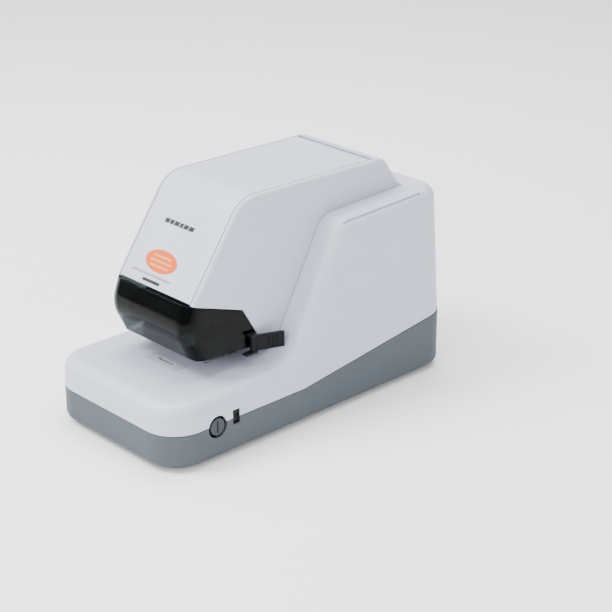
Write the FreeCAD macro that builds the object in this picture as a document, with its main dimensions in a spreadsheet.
"""Electric stapler with a tall staple cassette, modelled as an assembly of separate pieces.

The front of the stapler faces -Y, up is +Z, and the origin is on the table under the middle of the
outline.  Driving sizes are cells of the sheet named sizes, in millimetres or degrees.
"""
import FreeCAD, Part
import math
import os

import Sketcher
from FreeCAD import Placement, Rotation, Vector

DOC = FreeCAD.newDocument("electric_stapler")
SHEET = DOC.addObject("Spreadsheet::Sheet", "sizes")

SIZES = {
    # whole machine
    "half_width": 75.0,
    "half_length": 150.0,
    "foot_height": 3.0,
    "wall": 2.5,
    # base tray and the line where it meets the white housing
    "seam_front": 31.0,
    "seam_rear": 52.0,
    "seam_bend": -15.0,
    "seam_gap": 0.6,
    "corner_front": 28.0,
    "corner_rear": 20.0,
    "tray_edge": 6.0,
    # white lower housing: deck, inclined flare and shoulders
    "deck_top": 54.0,
    "flare_foot": -25.0,
    "flare_head": 30.0,
    "flare_blend": 28.0,
    "flare_brow": 18.0,
    "shoulder_front": 157.0,
    "shoulder_rear": 161.0,
    "shoulder_half": 70.0,
    "rear_lean": 4.0,
    "top_round": 11.0,
    # head shell that rises through the lower housing
    "head_half": 46.5,
    "head_wall": 3.6,
    "head_gap": 0.5,
    "face_foot_back": -102.0,
    "face_foot_up": 117.0,
    "brow_back": -51.0,
    "brow_up": 190.0,
    "crown_back": 100.0,
    "crown_up": 188.0,
    "tail_back": 121.0,
    "tail_up": 158.0,
    "brow_round": 27.0,
    "crown_round": 14.0,
    "rim_round": 3.2,
    "head_foot": 66.0,
    "head_panel": 2.5,
    # top cover and its hinge
    "cover_half": 41.9,
    "cover_thick": 2.4,
    "hinge_back": 86.0,
    "hinge_up": 182.4,
    "knuckle_radius": 5.6,
    "hinge_pin_radius": 2.5,
    # smoked guard over the nose
    "guard_half": 46.9,
    "guard_thick": 2.0,
    "guard_corner": 11.0,
    # drive train
    "crank_back": 38.0,
    "crank_up": 38.0,
    "eccentric_throw": 3.7,
    "eccentric_radius": 10.0,
    "shaft_radius": 4.0,
    "running_gap": 0.06,
    "pivot_back": 100.0,
    "pivot_up": 84.0,
    "frame_half": 35.0,
    "frame_thick": 2.0,
    "chassis_top": 7.5,
    # magazine carrier and drive arm
    "carrier_half": 21.0,
    "carrier_thick": 1.6,
    "carrier_foot": 72.0,
    "arm_inner": 23.0,
    "arm_outer": 25.5,
    "pin_back": 38.0,
    "pin_up": 80.0,
    "pin_radius": 3.0,
    # cassette
    "box_half": 17.5,
    "box_front": -36.0,
    "box_back": 18.0,
    "box_foot": 76.0,
    "box_top": 176.0,
    "box_wall": 1.6,
    # depth dial and paper stop
    "dial_back": -104.5,
    "dial_up": 29.0,
    "dial_radius": 9.0,
    # staple line
    "staple_line": -92.0,
}

MAIN_TEETH = 60
IDLER_SMALL_TEETH = 14
IDLER_BIG_TEETH = 44
PINION_TEETH = 12
PRESSURE_ANGLE = math.radians(20.0)
ADDENDUM = 0.8
DEDENDUM = 1.15
BACKLASH = 0.24
NODES = []


class Size:
    """A number together with the sheet expression that gives it."""

    def __init__(self, number, text):
        self.number = number
        self.text = text

    def joined(self, other, sign, number):
        return Size(number, f"({self.text} {sign} {text_of(other)})")

    def __add__(self, other):
        return self.joined(other, "+", self.number + number_of(other))

    def __sub__(self, other):
        return self.joined(other, "-", self.number - number_of(other))

    def __mul__(self, other):
        return self.joined(other, "*", self.number * number_of(other))

    def __truediv__(self, other):
        return self.joined(other, "/", self.number / number_of(other))

    def __radd__(self, other):
        return self + other

    def __rsub__(self, other):
        return -self + other

    def __neg__(self):
        return self * -1


def number_of(value):
    return value.number if isinstance(value, Size) else float(value)


def text_of(value):
    return value.text if isinstance(value, Size) else f"{float(value):.4f}"


class Sheet:
    """Gives each driving size under its own name."""

    def __getattr__(self, alias):
        return Size(SIZES[alias], f"sizes.{alias}")


def fill_sheet():
    for row, (alias, number) in enumerate(SIZES.items(), start=1):
        SHEET.set(f"A{row}", alias)
        SHEET.set(f"B{row}", str(number))
        SHEET.setAlias(f"B{row}", alias)
    DOC.recompute()


S = Sheet()


def drive(thing, name, value):
    """Sets one property, bound to the sheet when the value comes from it."""
    if isinstance(value, Size):
        thing.setExpression(name, value.text)
    elif name.startswith(".Placement"):
        axis = name[-1]
        place = thing.Placement
        setattr(place.Base, axis, value)
        base = Vector(place.Base)
        setattr(base, axis, value)
        thing.Placement = Placement(base, place.Rotation)
    else:
        setattr(thing, name, value)


def put_at(thing, x, y, z):
    for axis, value in zip("xyz", (x, y, z)):
        drive(thing, f".Placement.Base.{axis}", value)


def keep(label, thing):
    """Registers a finished piece under the name of its node."""
    thing.Label = label
    NODES.append(thing)
    return thing


# ---- building blocks ----------------------------------------------------------------------------


def box(name, x, y, z):
    """A box from ranges along the three axes."""
    thing = DOC.addObject("Part::Box", name)
    for side, span in zip(("Length", "Width", "Height"), (x, y, z)):
        drive(thing, side, span[1] - span[0])
    put_at(thing, x[0], y[0], z[0])
    return thing


TURNS = {
    "x": Rotation(Vector(0, 1, 0), 90),
    "y": Rotation(Vector(1, 0, 0), -90),
    "z": Rotation(),
}


def rod(name, axis, span, centre, radius):
    """A cylinder along one axis; the centre gives the other two coordinates in order."""
    thing = DOC.addObject("Part::Cylinder", name)
    thing.Placement = Placement(Vector(), TURNS[axis])
    drive(thing, "Radius", radius)
    drive(thing, "Height", span[1] - span[0])
    place = list(centre)
    place.insert("xyz".index(axis), span[0])
    put_at(thing, *place)
    return thing


def fuse(name, things):
    whole = DOC.addObject("Part::MultiFuse", name)
    whole.Shapes = things
    whole.Refine = True
    return whole


def cut(name, base, tools):
    result = DOC.addObject("Part::Cut", name)
    result.Base = base
    result.Tool = tools[0] if len(tools) == 1 else fuse(f"{name}_tools", tools)
    result.Refine = True
    return result


def common(name, things):
    shared = DOC.addObject("Part::MultiCommon", name)
    shared.Shapes = things
    shared.Refine = True
    return shared


def near(tolerance=0.05, **spot):
    """Picks the edges whose middle lies at the given coordinates."""

    def test(edge):
        middle = edge.valueAt((edge.FirstParameter + edge.LastParameter) / 2)
        return all(abs(getattr(middle, axis) - number_of(v)) < tolerance for axis, v in spot.items())

    return test


def edge_numbers(shape, tests):
    return [i for i, edge in enumerate(shape.Edges, start=1) if any(test(edge) for test in tests)]


def soften(name, base, radius, tests):
    """Rounds the picked edges of a boolean result."""
    DOC.recompute()
    thing = DOC.addObject("Part::Fillet", name)
    thing.Base = base
    thing.Edges = [(i, number_of(radius), number_of(radius)) for i in edge_numbers(base.Shape, tests)]
    DOC.recompute()
    return thing


def outline(sketch, points):
    """A closed outline of straight lines with every corner held by the sheet."""
    spots = [Vector(number_of(a), number_of(b), 0) for a, b in points]
    count = len(spots)
    for i in range(count):
        sketch.addGeometry(Part.LineSegment(spots[i], spots[(i + 1) % count]), False)
    for i in range(count):
        sketch.addConstraint(Sketcher.Constraint("Coincident", i, 2, (i + 1) % count, 1))
    for i, point in enumerate(points):
        for kind, axis, value in (("DistanceX", -2, point[0]), ("DistanceY", -1, point[1])):
            if number_of(value) == 0.0:
                sketch.addConstraint(Sketcher.Constraint("PointOnObject", i, 1, axis))
                continue
            rule = Sketcher.Constraint(kind, -1, 1, i, 1, number_of(value))
            index = sketch.addConstraint(rule)
            if isinstance(value, Size):
                sketch.setExpression(f"Constraints[{index}]", value.text)


def prism(name, plane, points, span, rounds=()):
    """A straight-sided solid: an outline on a base plane, padded over a range along its normal.

    On YZ the outline is (y, z) and the pad runs along X, on XZ (x, z) along Y, on XY (x, y) along Z.
    Each entry of rounds is a radius and the tests that pick its edges.
    """
    body = DOC.addObject("PartDesign::Body", name)
    sketch = body.newObject("Sketcher::SketchObject", f"{name}_outline")
    base = [f for f in body.Origin.OriginFeatures if f.Role == f"{plane}_Plane"][0]
    sketch.AttachmentSupport = [(base, "")]
    sketch.MapMode = "FlatFace"
    low, high = span
    if plane == "XZ":
        low, high = -high, -low
    if isinstance(low, Size):
        sketch.setExpression(".AttachmentOffset.Base.z", low.text)
    else:
        sketch.AttachmentOffset = Placement(Vector(0, 0, low), Rotation())
    outline(sketch, points)
    pad = body.newObject("PartDesign::Pad", f"{name}_pad")
    pad.Profile = sketch
    drive(pad, "Length", high - low)
    body.Tip = pad
    last = pad
    for step, (radius, tests) in enumerate(rounds):
        DOC.recompute()
        picked = edge_numbers(last.Shape, tests)
        fillet = body.newObject("PartDesign::Fillet", f"{name}_round{step}")
        fillet.Base = (last, [f"Edge{i}" for i in picked])
        drive(fillet, "Radius", radius)
        body.Tip = fillet
        last = fillet
    return body


# ---- gears --------------------------------------------------------------------------------------


def involute(angle):
    return math.tan(angle) - angle


def tooth_points(teeth, phase):
    """Corner points, as angle and radius, of every tooth of a spur gear of module one."""
    pitch = teeth / 2
    base = pitch * math.cos(PRESSURE_ANGLE)
    root = pitch - DEDENDUM
    tip = pitch + ADDENDUM
    half = math.pi / (2 * teeth) - BACKLASH / (4 * pitch) + involute(PRESSURE_ANGLE)
    start = max(root, base + 0.01)
    radii = [start + (tip - start) * k / 4 for k in range(5)]
    flank = [(half - involute(math.acos(base / r)), r) for r in radii]
    if root < start:
        flank.insert(0, (flank[0][0], root))
    points = []
    for tooth in range(teeth):
        middle = phase + 2 * math.pi * tooth / teeth
        points += [(middle - a, r) for a, r in flank]
        points += [(middle + a, r) for a, r in reversed(flank)]
    return points


def gear(name, teeth, centre, span, phase):
    """A spur gear whose axis runs along X; centre is (y, z) and phase the angle of one tooth."""
    ring = []
    for angle, radius in tooth_points(teeth, phase):
        y = centre[0] + radius * math.cos(angle)
        z = centre[1] + radius * math.sin(angle)
        ring.append(Vector(span[0], y, z))
    face = Part.Face(Part.makePolygon(ring + ring[:1]))
    thing = DOC.addObject("Part::Feature", name)
    thing.Shape = face.extrude(Vector(span[1] - span[0], 0, 0))
    return thing


def rack(name, pitch_z, gap_y, y_span, top, x_span):
    """A straight rack with its teeth facing down; gap_y is the middle of one gap."""
    low, high = 0.65, DEDENDUM
    slope = math.tan(PRESSURE_ANGLE)
    quarter = math.pi / 4 - BACKLASH / 4
    points = [(y_span[1], top), (y_span[0], top), (y_span[0], pitch_z + high)]
    first = math.ceil((y_span[0] - gap_y) / math.pi + 0.5)
    last = math.floor((y_span[1] - gap_y) / math.pi - 0.5)
    for step in range(first, last):
        middle = gap_y + (step + 0.5) * math.pi
        points.append((middle - quarter - high * slope, pitch_z + high))
        points.append((middle - quarter + low * slope, pitch_z - low))
        points.append((middle + quarter - low * slope, pitch_z - low))
        points.append((middle + quarter + high * slope, pitch_z + high))
    points.append((y_span[1], pitch_z + high))
    ring = [Vector(x_span[0], y, z) for y, z in points]
    thing = DOC.addObject("Part::Feature", name)
    thing.Shape = Part.Face(Part.makePolygon(ring + ring[:1])).extrude(Vector(x_span[1] - x_span[0], 0, 0))
    return thing


# ---- outer housing ------------------------------------------------------------------------------


def upright_corner(x, y, tolerance=3.0):
    """Picks the edge that rises at one corner of the plan."""

    def test(edge):
        ends = [v.Point for v in edge.Vertexes]
        if len(ends) != 2 or abs(ends[0].z - ends[1].z) < 5:
            return False
        return all(abs(abs(p.x) - x) < tolerance + 4 and abs(p.y - y) < tolerance + 3 for p in ends)

    return test


def tray_form(name, inset):
    """The outside form of the tray, or its cavity when inset is not zero."""
    side = S.half_width - inset
    end = S.half_length - inset
    rise = 0 if inset == 0 else 40
    foot = S.foot_height + inset
    block = prism(
        name,
        "YZ",
        [
            (-end, foot),
            (end, foot),
            (end, S.seam_rear - S.seam_gap + rise),
            (S.seam_bend, S.seam_front - S.seam_gap + rise),
            (-end, S.seam_front - S.seam_gap + rise),
        ],
        (-side, side),
        rounds=[
            (S.corner_front - inset, [near(x=x, y=-end, tolerance=0.5) for x in (side, -side)]),
            (S.corner_rear - inset, [near(x=x, y=end, tolerance=0.5) for x in (side, -side)]),
            (S.tray_edge - inset, [near(z=foot)]),
        ],
    )
    return block


def make_tray():
    outside = tray_form("tray_outside", 0)
    cavity = tray_form("tray_cavity", number_of(S.wall))
    holes = [
        rod("tray_dial_hole", "x", (60, 80), (S.dial_back, S.dial_up), S.dial_radius),
        box("tray_switch_hole", (60, 80), (-89.5, -82.5), (25.5, 37.5)),
        box("tray_inlet_hole", (31, 49), (140, 155), (17, 33)),
    ]
    for side in (-1, 1):
        for y in (-122, 128):
            x = 60 if y < 0 else 66.2
            holes.append(rod("tray_screw_hole", "z", (2, 24), (side * x, y), 1.9))
            holes.append(rod("tray_screw_well", "z", (2, 7.5), (side * x, y), 3.8))
    shell = cut("tray_shell", outside, [cavity])
    posts = []
    for side in (-1, 1):
        posts.append(rod("tray_post", "z", (4, 24), (side * 60, -122), 5.2))
        posts.append(rod("tray_post", "z", (4, 24), (side * 66.2, 128), 5.2))
    body = fuse("tray_body", [shell] + posts)
    keep("base_tray", cut("base_tray", body, holes))
    screws = []
    for side in (-1, 1):
        for y in (-122, 128):
            x = 60 if y < 0 else 66.2
            head = rod("screw_head", "z", (4.9, 7.5), (side * x, y), 3.2)
            shank = rod("screw_shank", "z", (7.5, 34), (side * x, y), 1.5)
            drive_slot = box("screw_slot", (side * x - 0.5, side * x + 0.5), (y - 2.2, y + 2.2), (4.5, 6.0))
            screws.append(cut("tray_screw", fuse("screw_blank", [head, shank]), [drive_slot]))
    keep("tray_screws", gather("tray_screws", screws))
    feet = []
    for side in (-1, 1):
        for y in (-128, 133):
            x = 46 if y < 0 else 50
            pad = rod("foot_pad", "z", (0, S.foot_height), (side * x, y), 9)
            feet.append(soften("rubber_foot", pad, 0.8, [near(z=0)]))
    keep("rubber_feet", gather("rubber_feet", feet))


def gather(name, things):
    """Several separate solids that share one node."""
    group = DOC.addObject("Part::Compound", name)
    group.Links = things
    return group


def housing_form(name, inset):
    """The white housing as a full block, or its cavity when inset is not zero."""
    end = S.half_length - inset
    slope = (SIZES["shoulder_front"] - SIZES["deck_top"]) / (SIZES["flare_head"] - SIZES["flare_foot"])
    shift = inset * math.tan(math.atan(slope) / 2) if inset else 0
    drop = inset
    low = 0 if inset == 0 else -30
    profile = prism(
        f"{name}_profile",
        "YZ",
        [
            (-end, S.seam_front + low),
            (S.seam_bend, S.seam_front + low),
            (end, S.seam_rear + low),
            (end, S.seam_rear + 4),
            (end - S.rear_lean, S.shoulder_rear - drop),
            (S.flare_head + shift, S.shoulder_front - drop),
            (S.flare_foot + shift, S.deck_top - drop),
            (-end, S.deck_top - drop),
        ],
        (-S.half_width - 5, S.half_width + 5),
        rounds=[
            (S.flare_blend + inset, [near(y=S.flare_foot + shift, z=S.deck_top - drop)]),
            (S.flare_brow - inset, [near(y=S.flare_head + shift, z=S.shoulder_front - drop)]),
        ],
    )
    taper = (S.half_width - S.shoulder_half) / 130
    top = S.half_width - taper * 140 - inset
    foot = S.half_width + taper * 30 - inset
    sides = prism(
        f"{name}_sides",
        "XZ",
        [(-foot, 0), (foot, 0), (top, 170), (-top, 170)],
        (-S.half_length - 5, S.half_length + 5),
    )
    block = common(f"{name}_block", [profile, sides])
    side = S.half_width - inset
    front = soften(
        f"{name}_front",
        block,
        S.corner_front - inset,
        [upright_corner(number_of(side), -number_of(end))],
    )
    rear = soften(
        f"{name}_rear",
        front,
        S.corner_rear - inset,
        [upright_corner(number_of(side), number_of(end))],
    )
    return rear


def top_rim(low):
    """Picks the edges around the outside of the top faces."""

    def test(edge):
        kinds = []
        for t in (0.05, 0.5, 0.95):
            p = edge.valueAt(edge.FirstParameter + (edge.LastParameter - edge.FirstParameter) * t)
            kinds.append((abs(p.x), p.y, p.z))
        if min(k[2] for k in kinds) < low:
            return False
        ends = [v.Point for v in edge.Vertexes]
        crossing = len(ends) == 2 and ends[0].x * ends[1].x < 0
        if crossing:
            y, z = kinds[1][1], kinds[1][2]
            return (y < -140 and z < 60) or (y > 140 and z > 150)
        at_corner = abs(ends[0].y - ends[1].y) < 1.0 and abs(abs(ends[0].x) - abs(ends[1].x)) < 0.2
        return not at_corner and not is_rising(edge)

    def is_rising(edge):
        ends = [v.Point for v in edge.Vertexes]
        plan = math.hypot(ends[0].x - ends[1].x, ends[0].y - ends[1].y)
        return abs(ends[0].z - ends[1].z) > 4 * plan

    return test


def post_spots():
    """Where the four screws join the tray and the housing."""
    return [(side * x, y) for side in (-1, 1) for x, y in ((60, -122), (66.2, 128))]


def make_housing():
    rounded = soften("housing_rounded", housing_form("housing_outside", 0), S.top_round, [top_rim(53.0)])
    inner = housing_form("housing_cavity", SIZES["wall"])
    inner = soften("housing_cavity_rounded", inner, S.top_round - S.wall, [top_rim(50.5)])
    half = S.head_half + S.head_gap
    slot = S.tail_back + S.head_gap
    tools = [
        inner,
        box("head_slot", (-half, half), (-60, slot), (S.head_foot, 200)),
        box("carrier_slot", (-28, 28), (-33, 60), (57.0, 80)),
        box("anvil_window", (-19.2, 19.2), (-99.7, -84.3), (45, 60)),
        box("sensor_slot", (-3.2, 3.2), (-64.5, -50), (45, 60)),
        rod("housing_dial_hole", "x", (60, 80), (S.dial_back, S.dial_up), S.dial_radius),
        box("housing_switch_hole", (60, 80), (-89.5, -82.5), (25.5, 37.5)),
    ]
    for side in (-1, 1):
        tools.append(box("stop_slot", (side * 22 - 1.9, side * 22 + 1.9), (-73.0, -40.6), (45, 60)))
        line = [(32, 152.9), (121, 156.0), (121, 175), (32, 175)]
        tools.append(prism("shoulder_groove", "YZ", line, (side * 66.5 - 0.7, side * 66.5 + 0.7)))
        scoop = rod("dimple_scoop", "y", (30, 46), (side * 53.6, 161.9), 6.0)
        ball = DOC.addObject("Part::Sphere", "dimple_end")
        ball.Radius = 6.0
        put_at(ball, side * 53.6, 46, 161.9)
        tools += [scoop, ball]
    shell = cut("housing_shell", rounded, tools)
    posts = []
    for x, y in post_spots():
        top = 52 if y < 0 else 72
        post = rod("housing_post", "z", (24.4, top), (x, y), 5.2)
        bore = rod("housing_post_bore", "z", (20, 36), (x, y), 1.5)
        posts.append(cut("housing_post_bored", post, [bore]))
    keep("body_shell", fuse("body_shell", [shell] + posts))


# ---- head shell and top cover -------------------------------------------------------------------


def make_head():
    half = S.head_half
    outside = prism(
        "head_outside",
        "YZ",
        [
            (S.face_foot_back, S.face_foot_up),
            (S.brow_back, S.brow_up),
            (S.crown_back, S.crown_up),
            (S.tail_back, S.tail_up),
            (S.tail_back, 110),
            (20, 110),
            (-5, S.head_foot),
            (-37, S.head_foot),
            (-39, 77),
            (-53, 100.5),
        ],
        (-half, half),
        rounds=[
            (S.brow_round, [near(y=S.brow_back, z=S.brow_up)]),
            (S.crown_round, [near(y=S.crown_back, z=S.crown_up)]),
        ],
    )
    rims = soften("head_rimmed", outside, S.rim_round, [head_rim])
    inner = half - S.head_wall
    hollow = prism(
        "head_hollow",
        "YZ",
        [
            (-170, S.head_foot + S.head_panel),
            (-3, S.head_foot + S.head_panel),
            (-3, 40),
            (92, 40),
            (92, 110 + S.head_panel),
            (S.tail_back - S.head_panel, 110 + S.head_panel),
            (S.tail_back - S.head_panel, S.tail_up - 1.3),
            (106, 177.5),
            (99.5, 183.4),
            (92.6, 183.4),
            (88.5, 192.2),
            (88.5, 230),
            (-170, 230),
        ],
        (-inner, inner),
    )
    tools = [
        hollow,
        box("head_carrier_gap", (-28, 28), (-60, 0), (60, 75)),
        rod("head_knuckle_gap", "x", (-inner, inner), (S.hinge_back, S.hinge_up), S.knuckle_radius + 0.55),
        rod("head_pin_hole", "x", (-60, 60), (S.hinge_back, S.hinge_up), S.hinge_pin_radius),
    ]
    keep("head_shell", cut("head_shell", rims, tools))
    caps = [rod("pin_body", "x", (-half, half), (S.hinge_back, S.hinge_up), S.hinge_pin_radius)]
    for side in (-1, 1):
        span = (half, half + 0.6) if side > 0 else (-half - 0.6, -half)
        caps.append(rod("pin_cap", "x", span, (S.hinge_back, S.hinge_up), 3.4))
    keep("cover_hinge_pin", fuse("cover_hinge_pin", caps))


def head_rim(edge):
    """The long outer edges of the two cheeks, along the face, the crown and the slope behind."""
    ends = [v.Point for v in edge.Vertexes]
    if len(ends) != 2 or ends[0].x * ends[1].x < 0:
        return False
    middle = edge.valueAt((edge.FirstParameter + edge.LastParameter) / 2)
    return middle.z > 125 and min(p.z for p in ends) > 110


def make_cover():
    thick = SIZES["cover_thick"]
    lift = 1.0
    run = Vector(SIZES["brow_back"] - SIZES["face_foot_back"], SIZES["brow_up"] - SIZES["face_foot_up"], 0)
    run.normalize()
    inward = Vector(run.y, -run.x, 0)
    fall = (SIZES["crown_up"] - SIZES["brow_up"]) / (SIZES["crown_back"] - SIZES["brow_back"])
    end = SIZES["hinge_back"]
    turn = (math.atan2(run.y, run.x) - math.atan(fall)) / 2
    reach = thick * math.tan(turn)
    under = run * lift + inward * thick
    elbow = near(y=S.brow_back + reach, z=S.brow_up - thick + fall * reach, tolerance=0.3)
    strip = prism(
        "cover_strip",
        "YZ",
        [
            (S.face_foot_back + run.x * lift, S.face_foot_up + run.y * lift),
            (S.brow_back, S.brow_up),
            (end, S.brow_up + fall * (end - SIZES["brow_back"])),
            (end, S.brow_up + fall * (end - SIZES["brow_back"]) - thick),
            (S.brow_back + reach, S.brow_up - thick + fall * reach),
            (S.face_foot_back + under.x, S.face_foot_up + under.y),
        ],
        (-S.cover_half, S.cover_half),
        rounds=[
            (S.brow_round - thick, [elbow]),
            (S.brow_round, [near(y=S.brow_back, z=S.brow_up)]),
        ],
    )
    outer = S.hinge_up
    width = (-S.cover_half, S.cover_half)
    knuckle = rod("cover_knuckle", "x", width, (S.hinge_back, outer), S.knuckle_radius)
    ribs = []
    for x in (-30, 30):
        ribs.append(box("cover_rib", (x - 1, x + 1), (-35, 70), (182.5, 186.6)))
    body = fuse("cover_body", [strip, knuckle] + ribs)
    bore = rod("cover_bore", "x", (-60, 60), (S.hinge_back, S.hinge_up), S.hinge_pin_radius + S.running_gap)
    keep("top_cover", cut("top_cover", body, [bore]))


# ---- smoked guard and its levers ----------------------------------------------------------------


GUARD_OUTLINE = [
    (-105.5, 116.6),
    (-113.0, 96.0),
    (-101.0, 72.0),
    (-98.0, 70.2),
    (-50.0, 68.0),
    (-41.0, 66.0),
    (-39.9, 76.7),
    (-53.9, 99.8),
    (-101.2, 116.0),
]


def shifted(points, gaps):
    """Moves every side of an outline inwards by its own gap and meets the sides again."""
    lines = []
    count = len(points)
    for i, gap in enumerate(gaps):
        (ay, az), (by, bz) = points[i], points[(i + 1) % count]
        length = math.hypot(by - ay, bz - az)
        uy, uz = (by - ay) / length, (bz - az) / length
        lines.append((ay - uz * gap, az + uy * gap, uy, uz))
    corners = []
    for i in range(count):
        py, pz, uy, uz = lines[i - 1]
        qy, qz, vy, vz = lines[i]
        t = ((qy - py) * vz - (qz - pz) * vy) / (uy * vz - uz * vy)
        corners.append((py + uy * t, pz + uz * t))
    return corners


def stretched(start, end, extra):
    """The point reached by running on past the end of a line."""
    length = math.hypot(end[0] - start[0], end[1] - start[1])
    scale = (length + extra) / length
    return (start[0] + (end[0] - start[0]) * scale, start[1] + (end[1] - start[1]) * scale)


def guard_form(name, inset):
    """The guard's outside form, or the hollow that opens its top, back and underside."""
    half = S.guard_half - inset
    points = GUARD_OUTLINE
    if inset:
        top, middle, chin = shifted(points, [inset] * len(points))[:3]
        over = stretched(middle, top, 12)
        under = stretched(middle, chin, 12)
        points = [over, middle, under, (-20, under[1]), (-20, over[1])]
    return prism(
        name,
        "YZ",
        points,
        (-half, half),
        rounds=[
            (26 - inset, [near(y=points[1][0], z=points[1][1])]),
            (S.guard_corner - inset, [guard_front_edge(number_of(half), points)]),
        ],
    )


def guard_front_edge(half, points):
    """Picks the upright front edges of the guard, where its face turns into its sides."""
    rearmost = max(points[0][0], points[1][0], points[2][0]) + 0.1

    def test(edge):
        ends = [v.Point for v in edge.Vertexes]
        along = all(abs(abs(p.x) - half) < 0.01 for p in ends) and ends[0].x * ends[1].x > 0
        return along and all(p.y < rearmost for p in ends) and abs(ends[0].z - ends[1].z) > 3

    return test


def make_guard():
    outside = guard_form("guard_outside", 0)
    hollow = guard_form("guard_hollow", SIZES["guard_thick"])
    keep("guard_visor", cut("guard_visor", outside, [hollow]))
    inner = S.guard_half - S.guard_thick
    rails = []
    clevises = []
    pins = []
    for side in (-1, 1):
        def span(a, b):
            return (a, b) if side > 0 else (-b, -a)

        plate = box("guard_rail", span(40.0, 42.4), (-96, 36), (84, 96))
        pad = box("guard_pad", span(42.4, inner), (-94, -62), (86, 94))
        rails.append(fuse("guard_bracket", [plate, pad]))
        lower = box("clevis_lower", span(S.guard_half, 52.6), (-55, -43.4), (63.4, 64.9))
        upper = box("clevis_upper", span(S.guard_half, 52.6), (-50, -43.4), (78.0, 79.2))
        for plate in (lower, upper):
            hole = rod("clevis_hole", "z", (60, 90), (side * 49.7, -46.2), 1.4)
            clevises.append(cut("lever_clevis", plate, [hole]))
        pins.append(rod("lever_pin", "z", (63.4, 79.2), (side * 49.7, -46.2), 1.4))
    keep("guard_rails", gather("guard_rails", rails))
    keep("lever_clevises", gather("lever_clevises", clevises))
    keep("lever_pins", gather("lever_pins", pins))
    for side, label in ((-1, "lever_left"), (1, "lever_right")):
        turn = math.radians(20)
        out = Vector(math.sin(turn) * side, math.cos(turn), 0)
        across = Vector(math.cos(turn), -math.sin(turn) * side, 0)
        start = Vector(side * 49.7, -46.2, 0)
        corners = []
        for along, wide in ((0.0, -1.5), (24.5, -1.5), (26.0, 0.0), (26.0, 1.5), (0.0, 1.5)):
            spot = start + out * along + across * wide * side
            corners.append((spot.x, spot.y))
        blade = prism(f"{label}_blade", "XY", corners, (65.2, 77.7))
        knuckle = rod(f"{label}_knuckle", "z", (65.2, 77.7), (start.x, start.y), 2.6)
        lugs = []
        for k in range(3):
            spot = start + out * (13 + 3.4 * k) + across * 1.5 * side
            lugs.append(rod(f"{label}_grip", "z", (67.2, 75.7), (spot.x, spot.y), 0.6))
        body = fuse(f"{label}_body", [blade, knuckle] + lugs)
        bore = rod(f"{label}_bore", "z", (60, 90), (start.x, start.y), 1.4 + 0.06)
        keep(label, cut(label, body, [bore]))


# ---- frame and drive train ----------------------------------------------------------------------

CRANK = (SIZES["crank_back"], SIZES["crank_up"])
IDLER_ANGLE = math.radians(3.1)
MOTOR_ANGLE = math.radians(-12.4)
IDLER = (CRANK[0] + 37 * math.cos(IDLER_ANGLE), CRANK[1] + 37 * math.sin(IDLER_ANGLE))
MOTOR = (IDLER[0] + 28 * math.cos(MOTOR_ANGLE), IDLER[1] + 28 * math.sin(MOTOR_ANGLE))


def make_frame():
    plate = box("chassis_blank", (-36.5, 36.5), (-101, 132), (S.foot_height + S.wall, S.chassis_top))
    holes = [rod("chassis_hole", "z", (0, 20), (x, y), 4) for x in (-22, 22) for y in (-40, 0, 118)]
    keep("chassis_plate", cut("chassis_plate", plate, holes))
    for side, label in ((-1, "side_frame_left"), (1, "side_frame_right")):
        outer = S.frame_half
        span = (outer - S.frame_thick, outer) if side > 0 else (-outer, -outer + S.frame_thick)
        form = prism(
            f"{label}_form",
            "YZ",
            [
                (14, S.chassis_top),
                (126, S.chassis_top),
                (126, 96),
                (119, 110),
                (97, 110),
                (88, 98),
                (60, 62),
                (18, 58),
            ],
            span,
        )
        holes = [
            rod(f"{label}_crank_hole", "x", (-60, 60), CRANK, 7.0),
            rod(f"{label}_pivot_hole", "x", (-60, 60), (S.pivot_back, S.pivot_up), S.shaft_radius),
            rod(f"{label}_motor_hole", "x", (-60, 60), MOTOR, 6.0),
            rod(f"{label}_light_a", "x", (-60, 60), (72, 62), 5.0),
        ]
        if side > 0:
            holes.append(rod(f"{label}_idler_hole", "x", (-60, 60), IDLER, 3.0))
        keep(label, cut(label, form, holes))
    half = S.frame_half
    pivot = (S.pivot_back, S.pivot_up)
    keep("pivot_shaft", rod("pivot_shaft", "x", (-half - 2, half + 2), pivot, S.shaft_radius))
    bushes = []
    for side in (-1, 1):
        span = (31.5, 36.5) if side > 0 else (-36.5, -31.5)
        ring = rod("bush_ring", "x", span, CRANK, 7.0)
        bore = rod("bush_bore", "x", (-60, 60), CRANK, S.shaft_radius + S.running_gap)
        bushes.append(cut("crank_bush", ring, [bore]))
    keep("crank_bushes", gather("crank_bushes", bushes))
    can = rod("can_body", "x", (-27, 27), MOTOR, 18)
    nose = rod("can_nose", "x", (-33, 33), MOTOR, 8)
    flats = [
        box("can_flat", (-40, 40), (MOTOR[0] - 30, MOTOR[0] + 30), (MOTOR[1] + 14, MOTOR[1] + 30)),
        box("can_flat", (-40, 40), (MOTOR[0] - 30, MOTOR[0] + 30), (MOTOR[1] - 30, MOTOR[1] - 14)),
        rod("can_bore", "x", (-30, 60), MOTOR, 2.0 + 0.06),
        rod("can_void", "x", (-22, 22), MOTOR, 15.5),
    ]
    keep("motor_can", cut("motor_can", fuse("can_whole", [can, nose]), flats))
    shaft = rod("stub_body", "x", (33, 53), IDLER, 3.0)
    clip = rod("stub_head", "x", (53, 54.5), IDLER, 4.6)
    collar = rod("stub_collar", "x", (35, 37.6), IDLER, 4.6)
    keep("idler_shaft", fuse("idler_shaft", [shaft, clip, collar]))


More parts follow.
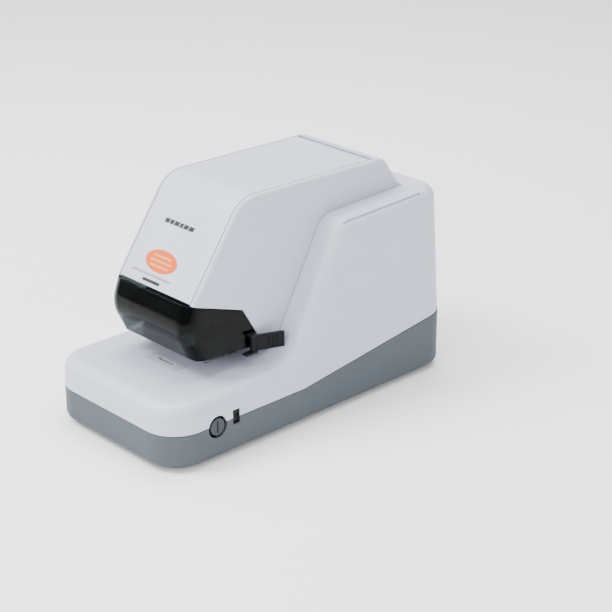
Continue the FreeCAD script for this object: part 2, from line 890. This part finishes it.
def make_gears():
    main = gear("main_wheel", MAIN_TEETH, CRANK, (38.4, 43.6), IDLER_ANGLE)
    lighten = []
    for k in range(6):
        angle = math.radians(60 * k + 30)
        spot = (CRANK[0] + 17 * math.cos(angle), CRANK[1] + 17 * math.sin(angle))
        lighten.append(rod("main_light", "x", (30, 50), spot, 5.5))
    lighten.append(rod("main_bore", "x", (30, 50), CRANK, S.shaft_radius))
    keep("main_gear", cut("main_gear", main, lighten))
    shaft = rod("crank_body", "x", (-37.5, 45.2), CRANK, S.shaft_radius)
    lobe = (S.crank_back, S.crank_up + S.eccentric_throw)
    disc = rod("crank_disc", "x", (-6, 6), lobe, S.eccentric_radius)
    keep("crank_shaft", fuse("crank_shaft", [shaft, disc]))
    facing = IDLER_ANGLE + math.pi + math.pi / IDLER_SMALL_TEETH
    small = gear("idler_pinion", IDLER_SMALL_TEETH, IDLER, (38.0, 44.6), facing)
    big = gear("idler_wheel", IDLER_BIG_TEETH, IDLER, (46.4, 50.8), MOTOR_ANGLE)
    neck = rod("idler_neck", "x", (44.6, 46.4), IDLER, 5.2)
    bore = rod("idler_bore", "x", (30, 60), IDLER, 3.0 + 0.06)
    keep("idler_gear", cut("idler_gear", fuse("idler_blank", [small, neck, big]), [bore]))
    facing = MOTOR_ANGLE + math.pi + math.pi / PINION_TEETH
    pinion = gear("motor_pinion_teeth", PINION_TEETH, MOTOR, (46.0, 51.2), facing)
    hole = rod("motor_pinion_bore", "x", (40, 60), MOTOR, 2.0)
    keep("motor_pinion", cut("motor_pinion", pinion, [hole]))
    shaft = rod("rotor_shaft", "x", (-29.5, 52.4), MOTOR, 2.0)
    core = rod("rotor_core", "x", (-18, 18), MOTOR, 13.0)
    keep("motor_rotor", fuse("motor_rotor", [shaft, core]))


def make_link():
    strap = rod("link_strap", "x", (-5.6, 5.6), (S.crank_back, S.crank_up + S.eccentric_throw), 15)
    neck = box("link_neck", (-5.6, 5.6), (29, 47), (50, 68))
    head = box("link_head", (-5.6, 5.6), (26.6, 49.4), (65, 94.6))
    eye = rod(
        "link_eye",
        "x",
        (-20, 20),
        (S.crank_back, S.crank_up + S.eccentric_throw),
        S.eccentric_radius + S.running_gap,
    )
    window = box("link_window", (-20, 20), (29.9, 46.1), (68.4, 91.4))
    keep("connecting_link", cut("connecting_link", fuse("link_blank", [strap, neck, head]), [eye, window]))


# ---- carrier, drive arm and cassette ------------------------------------------------------------


def make_carrier():
    half = S.carrier_half
    thick = S.carrier_thick
    foot = S.carrier_foot
    floor = box("carrier_floor", (-half, half), (-86, 92), (foot, foot + thick))
    walls = []
    hubs = []
    for side in (-1, 1):
        span = (half - thick, half) if side > 0 else (-half, -half + thick)
        walls.append(
            prism(
                "carrier_wall",
                "YZ",
                [(-97, foot), (106, foot), (106, 94), (60, 94), (30, 90), (-90, 84), (-97, 80)],
                span,
            )
        )
        hub = (half, 22.7) if side > 0 else (-22.7, -half)
        hubs.append(rod("carrier_hub", "x", hub, (S.pivot_back, S.pivot_up), 7))
    body = fuse("carrier_blank", [floor] + walls + hubs)
    tools = [
        box("carrier_window", (-9, 9), (21, 54), (60, 78)),
        rod("carrier_bore", "x", (-60, 60), (S.pivot_back, S.pivot_up), S.shaft_radius + S.running_gap),
        box("carrier_pin_slot", (-60, 60), (34.3, 41.7), (73.8, 83.7)),
    ]
    keep("magazine_carrier", cut("magazine_carrier", body, tools))
    inner = half - thick
    nose = box("nose_blank", (-inner, inner), (-97, -86), (69.9, 90.6))
    slot = box("nose_slot", (-6.9, 6.9), (-94.0, -90.5), (60, 100))
    keep("nose_block", cut("nose_block", nose, [slot]))
    line = S.staple_line
    arms = []
    for side in (-1, 1):
        span = (S.arm_inner, S.arm_outer) if side > 0 else (-S.arm_outer, -S.arm_inner)
        bar = prism(
            "arm_bar",
            "YZ",
            [
                (-98, 88),
                (26, 84),
                (30, 74.5),
                (46, 74.5),
                (52, 78),
                (94, 77),
                (108, 80),
                (108, 92),
                (40, 96),
                (-84, 108),
                (-98, 108),
            ],
            span,
        )
        arms.append(bar)
    cross = box("arm_cross", (-S.arm_outer, S.arm_outer), (-98, -86.2), (100.4, 108))
    rods = rod("arm_bore", "x", (-60, 60), (S.pivot_back, S.pivot_up), S.shaft_radius + S.running_gap)
    pin_hole = rod("arm_pin_hole", "x", (-60, 60), (S.pin_back, S.pin_up), S.pin_radius)
    keep("drive_arm", cut("drive_arm", fuse("arm_blank", arms + [cross]), [rods, pin_hole]))
    keep("driver_blade", box("driver_blade", (-6.5, 6.5), (line - 0.6, line + 0.6), (78.8, 100.4)))
    ends = S.arm_outer + 1.5
    keep("arm_pin", rod("arm_pin", "x", (-ends, ends), (S.pin_back, S.pin_up), S.pin_radius))


def make_cassette():
    half = S.box_half
    wall = S.box_wall
    block = box("cassette_block", (-half, half), (S.box_front, S.box_back), (S.box_foot, S.box_top))
    hollow = box(
        "cassette_hollow",
        (-half + wall, half - wall),
        (S.box_front + wall, S.box_back - wall),
        (S.box_foot + wall, S.box_top - wall),
    )
    wedge = prism(
        "cassette_wedge",
        "YZ",
        [(-84.5, S.box_foot), (S.box_front, S.box_foot), (S.box_front, 124), (-84.5, 92)],
        (-half, half),
    )
    scoop = prism(
        "cassette_scoop",
        "YZ",
        [(-82.5, S.box_foot + wall), (-34, S.box_foot + wall), (-34, 122.6), (-82.5, 90.6)],
        (-half + wall, half - wall),
    )
    shell = cut("cassette_body", fuse("cassette_whole", [block, wedge]), [hollow, scoop])
    keep("cassette_box", shell)
    shell.Label = "cassette_box"
    inner = half - wall
    stack = box("stack_main", (-13, 13), (-33, S.box_back - wall), (S.box_foot + wall, 150))
    strip = box("stack_strip", (-13, 13), (-82.4, -33), (S.box_foot + wall, S.box_foot + wall + 1.2))
    keep("staple_stack", fuse("staple_stack", [stack, strip]))
    keep("pressure_plate", box("pressure_plate", (-inner + 0.6, inner - 0.6), (-33, 15), (150, 152.4)))
    zigzag = [(-26, 152.4), (8, 152.4), (8, 153.0), (-14, 159.4), (6, 166.6), (-24, 174.4), (-26, 174.4)]
    zigzag += [(-26, 173.9), (4.2, 166.3), (-16, 159.5), (4, 153.0), (-26, 153.0)]
    keep("cassette_spring", prism("cassette_spring", "YZ", zigzag, (-6, 6)))
    grip = box("grip_bar", (-half, half), (S.box_back, S.box_back + 4), (166, S.box_top))
    hook = box("grip_hook", (-half, half), (S.box_back + 2.4, S.box_back + 4), (158, 166))
    keep("cassette_grip", fuse("cassette_grip", [grip, hook]))


# ---- anvil, clinchers and paper parts -----------------------------------------------------------


def make_anvil():
    line = SIZES["staple_line"]
    plate = box("anvil_blank", (-19, 19), (line - 7.5, line + 7.5), (52.3, 54.2))
    slot = box("anvil_slot", (-9.0, 9.0), (line - 1.7, line + 1.7), (50, 56))
    marks = [rod("anvil_screw_hole", "z", (50, 56), (x, line), 1.8) for x in (-14.2, 14.2)]
    keep("anvil_plate", cut("anvil_plate", plate, [slot] + marks))
    block = box("clincher_blank", (-19, 19), (line - 7.2, line + 7.2), (S.chassis_top, 52.3))
    room = box("clincher_room", (-12.4, 12.4), (line - 2.2, line + 2.2), (40, 60))
    pins = [rod("clincher_pin_hole", "y", (line - 6, line + 6), (x, 47.6), 1.2) for x in (-8.6, 8.6)]
    wells = [rod("anvil_screw_well", "z", (44, 60), (x, line), 0.9) for x in (-14.2, 14.2)]
    keep("clincher_block", cut("clincher_block", block, [room] + pins + wells))
    pins = [rod("clincher_pin", "y", (line - 6, line + 6), (x, 47.6), 1.2) for x in (-8.6, 8.6)]
    keep("clincher_pins", gather("clincher_pins", pins))
    screws = []
    for x in (-14.2, 14.2):
        head = rod("anvil_screw_head", "z", (52.3, 54.0), (x, line), 1.8)
        shank = rod("anvil_screw_shank", "z", (44, 52.3), (x, line), 0.9)
        screws.append(fuse("anvil_screw", [head, shank]))
    keep("anvil_screws", gather("anvil_screws", screws))
    for side, label in ((-1, "clincher_left"), (1, "clincher_right")):
        corners = [(0.5, 49.6), (0.5, 51.4), (10.8, 51.4), (11.6, 48), (10.8, 45), (7, 45)]
        points = [(side * x, z) for x, z in corners]
        if side > 0:
            points.reverse()
        wing = prism(f"{label}_wing", "XZ", points, (line - 1.4, line + 1.4))
        bore = rod(f"{label}_bore", "y", (line - 6, line + 6), (side * 8.6, 47.6), 1.26)
        keep(label, cut(label, wing, [bore]))


def make_sensor():
    cheeks = [box("sensor_cheek", (x - 1, x + 1), (-63, -57), (45.5, 51.5)) for x in (-5.2, 5.2)]
    tops = [rod("sensor_cheek_hole", "x", (-10, 10), (-60, 48), 1.2)]
    pin = rod("sensor_pin", "x", (-6.2, 6.2), (-60, 48), 1.2)
    keep("sensor_bracket", gather("sensor_bracket", [cut("sensor_cheek_bored", c, tops) for c in cheeks]))
    keep("sensor_pin", pin)
    arm = prism(
        "sensor_arm",
        "YZ",
        [(-62.4, 46), (-57.6, 46), (-57.2, 50), (-58.4, 58.2), (-60.6, 58.2), (-62.8, 50)],
        (-1.6, 1.6),
    )
    hub = rod("sensor_hub", "x", (-3.4, 3.4), (-60, 48), 2.4)
    bore = rod("sensor_bore", "x", (-10, 10), (-60, 48), 1.26)
    keep("paper_sensor", cut("paper_sensor", fuse("sensor_blank", [arm, hub]), [bore]))


def make_depth_parts():
    centre = (S.dial_back, S.dial_up)
    knob = rod("dial_knob", "x", (68.5, 74.6), centre, S.dial_radius - 2.0)
    shaft = rod("dial_shaft", "x", (44.5, 68.5), centre, 3.0)
    middle = (SIZES["dial_back"], SIZES["dial_up"])
    teeth = gear("dial_pinion", PINION_TEETH, middle, (46.4, 51.6), math.pi / 2)
    grooves = []
    for k in range(16):
        angle = 2 * math.pi * k / 16
        spot = (
            SIZES["dial_back"] + 7.5 * math.cos(angle),
            SIZES["dial_up"] + 7.5 * math.sin(angle),
        )
        grooves.append(rod("dial_groove", "x", (70.5, 76), spot, 1.0))
    grooves.append(box("dial_mark", (73.6, 76), (-105.2, -103.8), (24, 34)))
    keep("depth_dial", cut("depth_dial", fuse("dial_blank", [knob, shaft, teeth]), grooves))
    bracket = box("dial_post", (58, 63), (-112.5, -96.5), (S.foot_height + S.wall, 38))
    bore = rod("dial_post_bore", "x", (50, 70), centre, 3.06)
    keep("dial_bracket", cut("dial_bracket", bracket, [bore]))
    bar = rack("stop_rack", 35.0, SIZES["dial_back"], (-110.5, -42), 40.0, (46.6, 51.4))
    bridge = box("stop_bridge", (-24, 51.4), (-51, -42), (40, 43.5))
    fingers = [box("stop_finger", (x - 1.2, x + 1.2), (-46, -42), (43.5, 58.2)) for x in (-22, 22)]
    keep("depth_stop", fuse("depth_stop", [bar, bridge] + fingers))
    guides = []
    for x in (10, 32):
        guides.append(box("stop_guide", (x - 3, x + 3), (-78, -34), (S.chassis_top, 40)))
    keep("stop_guides", gather("stop_guides", guides))


def make_switch():
    low, high = 25.7, 37.3
    housing = box("switch_block", (64, 74.6), (-89.3, -82.7), (low, high))
    room = box("switch_room", (66, 80), (-88.7, -83.3), (low + 0.7, high - 0.7))
    pin = rod("switch_pin_hole", "y", (-89.3, -82.7), (70, 31.5), 1.2)
    keep("switch_housing", cut("switch_housing", housing, [room, pin]))
    rocker = prism(
        "rocker_form",
        "XZ",
        [(69.0, 28.8), (72.2, 27.5), (73.7, 27.5), (73.3, 31.5), (74.5, 35.9), (72.8, 36.2), (69.0, 34.2)],
        (-88.5, -83.5),
    )
    axle = rod("rocker_axle", "y", (-89.2, -82.8), (70, 31.5), 1.14)
    keep("switch_rocker", fuse("switch_rocker", [rocker, axle]))


def make_electrics():
    board = box("board_blank", (-52, 52), (134, 135.6), (20, 128))
    holes = []
    for x in (-47, 47):
        for z in (25, 122):
            holes.append(rod("board_hole", "y", (130, 140), (x, z), 1.6))
    keep("control_board", cut("control_board", board, holes))
    foot = box("bracket_foot", (-30, 30), (126, 134), (S.chassis_top, S.chassis_top + 1.6))
    back = box("bracket_back", (-30, 30), (132.4, 134), (S.chassis_top, 60))
    keep("board_bracket", fuse("board_bracket", [foot, back]))
    caps = [rod("board_cap", "y", (120, 134), (x, z), 5) for x, z in ((-45, 80), (-45, 94), (45, 60))]
    keep("board_capacitors", gather("board_capacitors", caps))
    chips = [box("board_chip", (x, x + 12), (131.6, 134), (z, z + 9)) for x, z in ((-14, 84), (8, 100))]
    chips.append(box("board_relay", (12, 30), (120, 134), (74, 90)))
    keep("board_chips", gather("board_chips", chips))
    shell = box("inlet_block", (31.4, 48.6), (137, 149.6), (17.4, 32.6))
    room = box("inlet_room", (34, 46), (140, 155), (20, 30))
    blades = [box("inlet_blade", (x - 0.4, x + 0.4), (139, 147), (23, 27)) for x in (37.5, 42.5)]
    keep("power_inlet", fuse("power_inlet", [cut("inlet_shell", shell, [room])] + blades))
    foot = box("inlet_foot", (34, 46), (138, 144), (S.foot_height + S.wall, 17.4))
    keep("inlet_post", foot)


def make_springs():
    """A bent leaf that stands on the chassis and lifts the carrier."""
    low = S.chassis_top
    top = S.carrier_foot
    leaf = [
        (61, low),
        (90, low),
        (90, low + 1),
        (63, low + 1),
        (79.6, top - 1.2),
        (84, top - 0.8),
        (84, top),
        (78, top),
        (61, low + 1.6),
    ]
    keep("return_spring", prism("return_spring", "YZ", leaf, (-5, 5)))


def check_all():
    """Stops when any object failed to build."""
    for thing in DOC.Objects:
        if any(state in ("Invalid", "Error") for state in thing.State):
            raise RuntimeError(f"{thing.Label} did not build")
    for node in NODES:
        if node.Shape.isNull() or not node.Shape.isValid():
            raise RuntimeError(f"{node.Label} has no valid shape")


def export_all():
    os.makedirs("parts", exist_ok=True)
    for node in NODES:
        node.Shape.exportStep(f"parts/{node.Label}.step")


fill_sheet()
make_tray()
make_housing()
make_head()
make_cover()
make_guard()
make_frame()
make_gears()
make_link()
make_carrier()
make_cassette()
make_anvil()
make_sensor()
make_depth_parts()
make_switch()
make_electrics()
make_springs()
DOC.recompute()
check_all()
export_all()
print(len(NODES), "pieces written")
